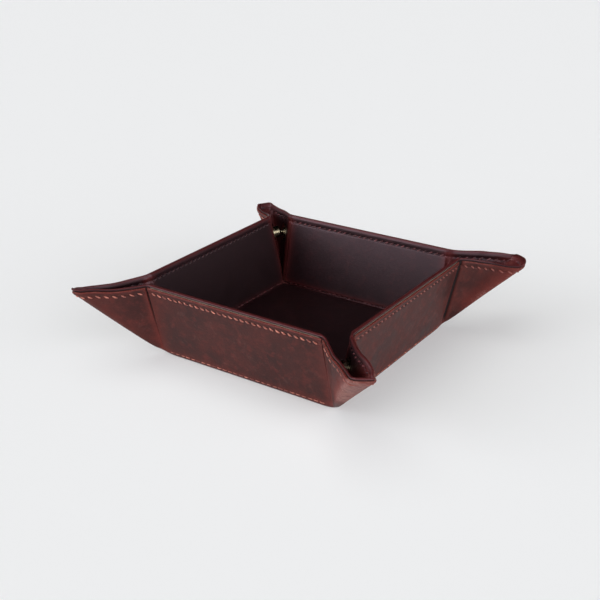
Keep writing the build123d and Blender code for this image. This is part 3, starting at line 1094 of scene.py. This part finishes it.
def waxed_leather(name, dark, mid, red, worn, gloss, ior, sheen, cloud):
    """Full-grain cow leather, drum dyed and waxed: a fine pebble with hair lines, cloudy where the wax has
    pulled away, redder where it is creased and paler on rubbed edges, with some painted light on the ears'
    bends. Painted shade from the pressed attribute darkens it towards near black in pressed lines, at tucks
    and over shaded linings. The pebble of such leather is about 0.4 mm wide and is drawn twice as coarse, so
    that it shows. Its roughness runs over the range gloss from cloud to cloud, and cloud is how far the wax
    has pulled away."""
    material, tree = new_material(name)
    made = {}
    for key, socket in (("pattern", "Vector"), ("wear", "Fac"), ("pressed", "Fac")):
        made[key] = add(tree, "ShaderNodeAttribute", attribute_name=key).outputs[socket]
    for key, (size, detail, roughness, distortion) in LEATHER_PATTERNS.items():
        made[key] = add(tree, "ShaderNodeTexNoise", {
            "Vector": made["pattern"], "Scale": 1 / (size * MM), "Detail": detail, "Roughness": roughness,
            "Distortion": distortion}).outputs["Fac"]
    uneven = add(tree, "ShaderNodeMapRange", {"Value": made["lines"], "From Min": 0.3, "From Max": 0.7,
                                              "To Min": 0.55, "To Max": 1.1})
    made["rubbed"] = add(tree, "ShaderNodeMath", {0: made["wear"], 1: uneven.outputs["Result"]},
                         operation="MULTIPLY", use_clamp=True).outputs["Value"]
    base = add(tree, "ShaderNodeValToRGB", {"Fac": made["clouds"]}, [(0.36, dark), (0.62, mid)])
    colour = base.outputs["Color"]
    # Mottle, scuffs, specks and wear are mixed in; the last mix, by the pressed attribute, is painted shade.
    for key, low, high, share, over in (
            ("mottle", 0.5, 0.72, cloud, red), ("scuffs", 0.55, 0.75, 0.2 * cloud, worn),
            ("specks", 0.45, 0.65, 0.45, dark), ("rubbed", 0.0, 0.6, 0.8, red),
            ("rubbed", 0.6, 1.0, 0.7, worn), ("pressed", 0.0, 1.0, 1.0, settings().colours.pressed)):
        amount = add(tree, "ShaderNodeMapRange", {"Value": made[key], "From Min": low, "From Max": high,
                                                  "To Max": share})
        mixed = add(tree, "ShaderNodeMix", {"Factor": amount.outputs["Result"], "A": colour, "B": over},
                    data_type="RGBA")
        colour = mixed.outputs["Result"]
    rough = add(tree, "ShaderNodeMapRange", {"Value": made["clouds"], "From Min": 0.3, "From Max": 0.7,
                                             "To Min": gloss[0], "To Max": gloss[1]})
    pebble = add(tree, "ShaderNodeTexVoronoi", {"Vector": made["pattern"], "Scale": 1 / PEBBLE})
    grain = add(tree, "ShaderNodeMix", {"Factor": 0.5, "A": pebble.outputs["Distance"], "B": made["lines"]},
                data_type="FLOAT")
    fine = add(tree, "ShaderNodeBump", {"Height": grain.outputs["Result"], "Strength": 0.4,
                                        "Distance": 0.14 * MM})
    bump = add(tree, "ShaderNodeBump", {"Height": made["mottle"], "Strength": 0.35, "Distance": 0.35 * MM,
                                        "Normal": fine.outputs["Normal"]})
    shader = add(tree, "ShaderNodeBsdfPrincipled", {
        "Base Color": colour, "Roughness": rough.outputs["Result"], "IOR": ior, "Specular Tint": sheen,
        "Normal": bump.outputs["Normal"]})
    add(tree, "ShaderNodeOutputMaterial", {"Surface": shader.outputs["BSDF"]})
    return material


def waxed_thread(name, light, dark, undarkened_to, dark_from):
    """Twisted linen thread, drawn through wax, with a twist about every 2 mm: each stitch takes its own tone
    from its place, and the stitches beyond a set place towards one side of the tray are drawn darker. For the
    thread inside, on the left wall, that darkening is painted shade."""
    material, tree = new_material(name)
    pattern = add(tree, "ShaderNodeAttribute", attribute_name="pattern").outputs["Vector"]
    shade = add(tree, "ShaderNodeTexNoise", {"Vector": pattern, "Scale": 1 / (3.5 * MM), "Detail": 1.0})
    twist = add(tree, "ShaderNodeTexWave", {"Vector": pattern, "Scale": 1 / (3.0 * MM), "Distortion": 1.0},
                bands_direction="DIAGONAL").outputs["Fac"]
    share = add(tree, "ShaderNodeMapRange", {"Value": shade.outputs["Fac"], "From Min": 0.35,
                                             "From Max": 0.65})
    right = add(tree, "ShaderNodeSeparateXYZ", {"Vector": pattern}).outputs["X"]
    undarkened = add(tree, "ShaderNodeMapRange", {"Value": right, "From Min": undarkened_to, "From Max": dark_from,
                                             "To Min": 1.0, "To Max": 0.12})
    share = add(tree, "ShaderNodeMath", {0: share.outputs["Result"], 1: undarkened.outputs["Result"]},
                operation="MULTIPLY")
    colour = add(tree, "ShaderNodeMix", {"Factor": share.outputs["Value"], "A": dark, "B": light},
                 data_type="RGBA").outputs["Result"]
    bump = add(tree, "ShaderNodeBump", {"Height": twist, "Strength": 0.4, "Distance": 0.1 * MM})
    shader = add(tree, "ShaderNodeBsdfPrincipled", {"Base Color": colour, "Roughness": 0.5,
                                                    "Normal": bump.outputs["Normal"]})
    add(tree, "ShaderNodeOutputMaterial", {"Surface": shader.outputs["BSDF"]})
    return material


def turned_brass(name, colour):
    """Brass, turned and lacquered: warm metal with a few dull spots."""
    material, tree = new_material(name)
    place = add(tree, "ShaderNodeTexCoord").outputs["Object"]
    spots = add(tree, "ShaderNodeTexNoise", {"Vector": place, "Scale": 1 / (2.5 * MM), "Detail": 3.0})
    rough = add(tree, "ShaderNodeMapRange", {"Value": spots.outputs["Fac"], "To Min": 0.18, "To Max": 0.34})
    bump = add(tree, "ShaderNodeBump", {"Height": spots.outputs["Fac"], "Strength": 0.15,
                                        "Distance": 0.05 * MM})
    shader = add(tree, "ShaderNodeBsdfPrincipled", {"Base Color": colour, "Metallic": 1.0,
                                                    "Roughness": rough.outputs["Result"],
                                                    "Normal": bump.outputs["Normal"]})
    add(tree, "ShaderNodeOutputMaterial", {"Surface": shader.outputs["BSDF"]})
    return material


def pressed_board(name, colour, fleck):
    """Pressed fibre board, rolled smooth: grey-brown with short flecks."""
    material, tree = new_material(name)
    place = add(tree, "ShaderNodeTexCoord").outputs["Object"]
    flecks = add(tree, "ShaderNodeTexNoise", {"Vector": place, "Scale": 1 / (1.2 * MM), "Detail": 4.0})
    colours = add(tree, "ShaderNodeValToRGB", {"Fac": flecks.outputs["Fac"]}, [(0.35, fleck), (0.6, colour)])
    bump = add(tree, "ShaderNodeBump", {"Height": flecks.outputs["Fac"], "Strength": 0.2,
                                        "Distance": 0.1 * MM})
    shader = add(tree, "ShaderNodeBsdfPrincipled", {"Base Color": colours.outputs["Color"], "Roughness": 0.85,
                                                    "Normal": bump.outputs["Normal"]})
    add(tree, "ShaderNodeOutputMaterial", {"Surface": shader.outputs["BSDF"]})
    return material


def finish_named(name):
    """A material of the tray, made the first time it is asked for."""
    found = bpy.data.materials.get(name)
    if found:
        return found
    colours = settings().colours
    if name == "waxed_burgundy_leather":
        return waxed_leather(name, colours.cover_dark, colours.cover_mid, colours.cover_red,
                             colours.cover_worn, gloss=(0.46, 0.62), ior=1.3, sheen=colours.cover_sheen,
                             cloud=0.5)
    if name == "burnished_lining_leather":
        return waxed_leather(name, colours.lining_dark, colours.lining_mid, colours.lining_red,
                             colours.lining_worn, gloss=(0.4, 0.5), ior=1.5, sheen=colours.lining_sheen,
                             cloud=0.2)
    if name == "waxed_linen_thread":
        return waxed_thread(name, colours.thread_light, colours.thread_dark, undarkened_to=75 * MM,
                            dark_from=100 * MM)
    if name == "waxed_linen_thread_inside":
        # Painted shade: stitches inside on the left wall are drawn darker.
        return waxed_thread(name, colours.thread_inside, colours.thread_deep, undarkened_to=-95 * MM,
                            dark_from=-110 * MM)
    if name == "turned_brass":
        return turned_brass(name, colours.brass)
    if name == "pressed_fibre_board":
        return pressed_board(name, colours.board, colours.board_fleck)
    raise KeyError(name)


def dress_nodes(words, material):
    """Gives a material to the frame's nodes whose names end in one of the words."""
    found = [node for name, node in frame["nodes"].items() if name.endswith(words)]
    if not found:
        raise RuntimeError(f"no node ends in {words}")
    for node in found:
        node.data.materials.clear()
        node.data.materials.append(material)
        node.data.shade_smooth()
        node.data.set_sharp_from_angle(angle=SOLID_SMOOTH)


# Operators

class TRAY_OT_floor(bpy.types.Operator):
    """Make the cover and the lining of the floor"""
    bl_idname = "tray.floor"
    bl_label = "Floor leather"

    def execute(self, context):
        make_floor_leather(finish_named("waxed_burgundy_leather"), finish_named("burnished_lining_leather"))
        return {"FINISHED"}


class TRAY_OT_walls(bpy.types.Operator):
    """Make the cover and the lining of the four walls"""
    bl_idname = "tray.walls"
    bl_label = "Wall leather"

    def execute(self, context):
        for side in SIDES:
            make_wall_cover(side, finish_named("waxed_burgundy_leather"))
            make_wall_lining(side, finish_named("burnished_lining_leather"))
        return {"FINISHED"}


class TRAY_OT_ears(bpy.types.Operator):
    """Make the cover and the lining of the four ears"""
    bl_idname = "tray.ears"
    bl_label = "Ear leather"

    def execute(self, context):
        for corner in range(4):
            for half in range(2):
                make_ear_cover(corner, half, finish_named("waxed_burgundy_leather"))
                make_ear_lining(corner, half, finish_named("burnished_lining_leather"))
        return {"FINISHED"}


class TRAY_OT_seams(bpy.types.Operator):
    """Sew the rim and the feet of the walls"""
    bl_idname = "tray.seams"
    bl_label = "Seams"

    def execute(self, context):
        outer = finish_named("waxed_linen_thread")
        inner = finish_named("waxed_linen_thread_inside")
        for side in SIDES:
            make_wall_thread(side, outer, inner)
            make_floor_thread(side, outer, inner)
        for corner in range(4):
            for half in range(2):
                make_ear_thread(corner, half, outer, inner)
        return {"FINISHED"}


class TRAY_OT_snaps(bpy.types.Operator):
    """Finish the press studs in brass"""
    bl_idname = "tray.snaps"
    bl_label = "Press studs"

    def execute(self, context):
        dress_nodes(("snap_stud", "snap_socket", "rivet"), finish_named("turned_brass"))
        return {"FINISHED"}


class TRAY_OT_boards(bpy.types.Operator):
    """Finish the boards inside the leather"""
    bl_idname = "tray.boards"
    bl_label = "Boards"

    def execute(self, context):
        dress_nodes(("board",), finish_named("pressed_fibre_board"))
        return {"FINISHED"}


class TRAY_OT_stage(bpy.types.Operator):
    """Set the floor, the light and the camera"""
    bl_idname = "tray.stage"
    bl_label = "Stage"

    def execute(self, context):
        make_floor_plane()
        make_light()
        make_camera()
        return {"FINISHED"}


# Stage

# The lights of the room: where the middle of each lies, and the cosine of the angle at which it ends
WINDOW = ((-0.62, -0.74, 0.18), 0.8)
LOW_LIGHT = ((0.97, -0.25, 0.05), 0.6)
TOWARD_SUN = (-0.3, -0.05, 1.0)


def make_floor_plane():
    """A large pale matt floor, which is also the backdrop. The camera sees its plain colour, also in metal
    and through glass, with a share of the tray's shadow."""
    stage = settings().stage
    colours = settings().colours
    half = stage.floor_reach
    mesh = bpy.data.meshes.new("stage_floor")
    corners = [(x * half, y * half, 0) for x, y in ((-1, -1), (1, -1), (1, 1), (-1, 1))]
    mesh.from_pydata(corners, [], [(0, 1, 2, 3)])
    material, tree = new_material("matt_paper_floor")
    lit = add(tree, "ShaderNodeBsdfPrincipled", {"Base Color": colours.paper, "Roughness": 0.95,
                                                 "Specular IOR Level": 0.1}).outputs["BSDF"]
    plain = add(tree, "ShaderNodeEmission", {"Color": colours.backdrop}).outputs["Emission"]
    rays = add(tree, "ShaderNodeLightPath").outputs
    seen = rays["Is Camera Ray"]
    for kind in ("Is Glossy Ray", "Is Transmission Ray"):
        seen = add(tree, "ShaderNodeMath", {0: seen, 1: rays[kind]}, operation="MAXIMUM").outputs["Value"]
    share = add(tree, "ShaderNodeMath", {0: seen, 1: 1 - stage.shadow},
                operation="MULTIPLY").outputs["Value"]
    mixed = add(tree, "ShaderNodeMixShader", {0: share, 1: lit, 2: plain})
    add(tree, "ShaderNodeOutputMaterial", {"Surface": mixed.outputs["Shader"]})
    mesh.materials.append(material)
    floor = bpy.data.objects.new("stage_floor", mesh)
    bpy.context.scene.collection.objects.link(floor)


def make_light():
    """A dark room with a bright window in front on the left, a low light from the right and a wide lamp
    above on the left. The camera sees the backdrop's colour in place of the room."""
    scene = bpy.context.scene
    stage = settings().stage
    colours = settings().colours
    world = bpy.data.worlds.new("studio_sky")
    world.use_nodes = True
    tree = world.node_tree
    tree.nodes.clear()
    toward = add(tree, "ShaderNodeTexCoord").outputs["Generated"]
    lobes = []
    for (middle, edge), strength in ((WINDOW, stage.key), (LOW_LIGHT, stage.fill)):
        facing = add(tree, "ShaderNodeVectorMath", {0: toward, 1: unit(middle)}, operation="DOT_PRODUCT")
        lobes.append(add(tree, "ShaderNodeMapRange", {"Value": facing.outputs["Value"], "From Min": edge,
                                                      "To Max": strength}).outputs["Result"])
    strength = add(tree, "ShaderNodeMath", {0: lobes[0], 1: lobes[1]}, operation="ADD").outputs["Value"]
    sky = add(tree, "ShaderNodeBackground", {"Color": colours.sky, "Strength": strength})
    plain = add(tree, "ShaderNodeBackground", {"Color": colours.backdrop})
    seen = add(tree, "ShaderNodeLightPath").outputs["Is Camera Ray"]
    mixed = add(tree, "ShaderNodeMixShader", {0: seen, 1: sky.outputs["Background"],
                                              2: plain.outputs["Background"]})
    add(tree, "ShaderNodeOutputWorld", {"Surface": mixed.outputs["Shader"]})
    scene.world = world
    lamp = bpy.data.lights.new("window_sun", "SUN")
    lamp.energy = stage.sun
    lamp.angle = stage.sun_spread
    sun = bpy.data.objects.new("window_sun", lamp)
    sun.matrix_world = axes_matrix(TOWARD_SUN, (0, 0, 0))
    sun.visible_glossy = False
    scene.collection.objects.link(sun)


def axes_matrix(back, place, roll=0.0):
    """Matrix of a lamp or camera whose own Z axis points along back."""
    back = unit(back)
    right = unit(np.cross(UP, back))
    up = np.cross(back, right)
    c, s = cos(roll), sin(roll)
    columns = (c * right + s * up, c * up - s * right, back)
    matrix = Matrix.Identity(4)
    for column, vector in enumerate(columns):
        for row in range(3):
            matrix[row][column] = vector[row]
    matrix.translation = place
    return matrix


def make_camera():
    """Camera at the photograph's angle, aimed at the centre of the tray's floor."""
    stage = settings().stage
    data = bpy.data.cameras.new("camera")
    data.lens = stage.focal
    data.sensor_width = stage.sensor
    data.shift_x = -stage.shift_right
    data.shift_y = stage.shift_down
    camera = bpy.data.objects.new("camera", data)
    e, a = stage.elevation, stage.azimuth
    back = np.array((sin(a) * cos(e), -cos(a) * cos(e), sin(e)))
    camera.matrix_world = axes_matrix(back, back * stage.distance, stage.roll)
    bpy.context.scene.collection.objects.link(camera)
    bpy.context.scene.camera = camera
    bpy.context.scene.view_settings.view_transform = "Standard"


# Panel and registration

OPERATORS = (TRAY_OT_floor, TRAY_OT_walls, TRAY_OT_ears, TRAY_OT_seams, TRAY_OT_snaps, TRAY_OT_boards,
             TRAY_OT_stage)


class TRAY_PT_panel(bpy.types.Panel):
    """Sizes, colours and steps of the tray"""
    bl_idname = "TRAY_PT_panel"
    bl_label = "Leather Tray"
    bl_space_type = "VIEW_3D"
    bl_region_type = "UI"
    bl_category = "Tray"

    def draw(self, context):
        layout = self.layout
        for key, group in GROUPS.items():
            box = layout.box()
            box.label(text=key.capitalize())
            for name in group.__annotations__:
                box.prop(getattr(context.scene.tray, key), name)
        for operator in OPERATORS:
            layout.operator(operator.bl_idname)


CLASSES = (*GROUPS.values(), TraySettings, *OPERATORS, TRAY_PT_panel)


def register():
    for item in CLASSES:
        bpy.utils.register_class(item)
    bpy.types.Scene.tray = PointerProperty(type=TraySettings)


def unregister():
    del bpy.types.Scene.tray
    for item in reversed(CLASSES):
        bpy.utils.unregister_class(item)


def main():
    register()
    bpy.ops.tray.floor()
    bpy.ops.tray.walls()
    bpy.ops.tray.ears()
    bpy.ops.tray.seams()
    bpy.ops.tray.snaps()
    bpy.ops.tray.boards()
    bpy.ops.tray.stage()


if __name__ == "__main__":
    main()
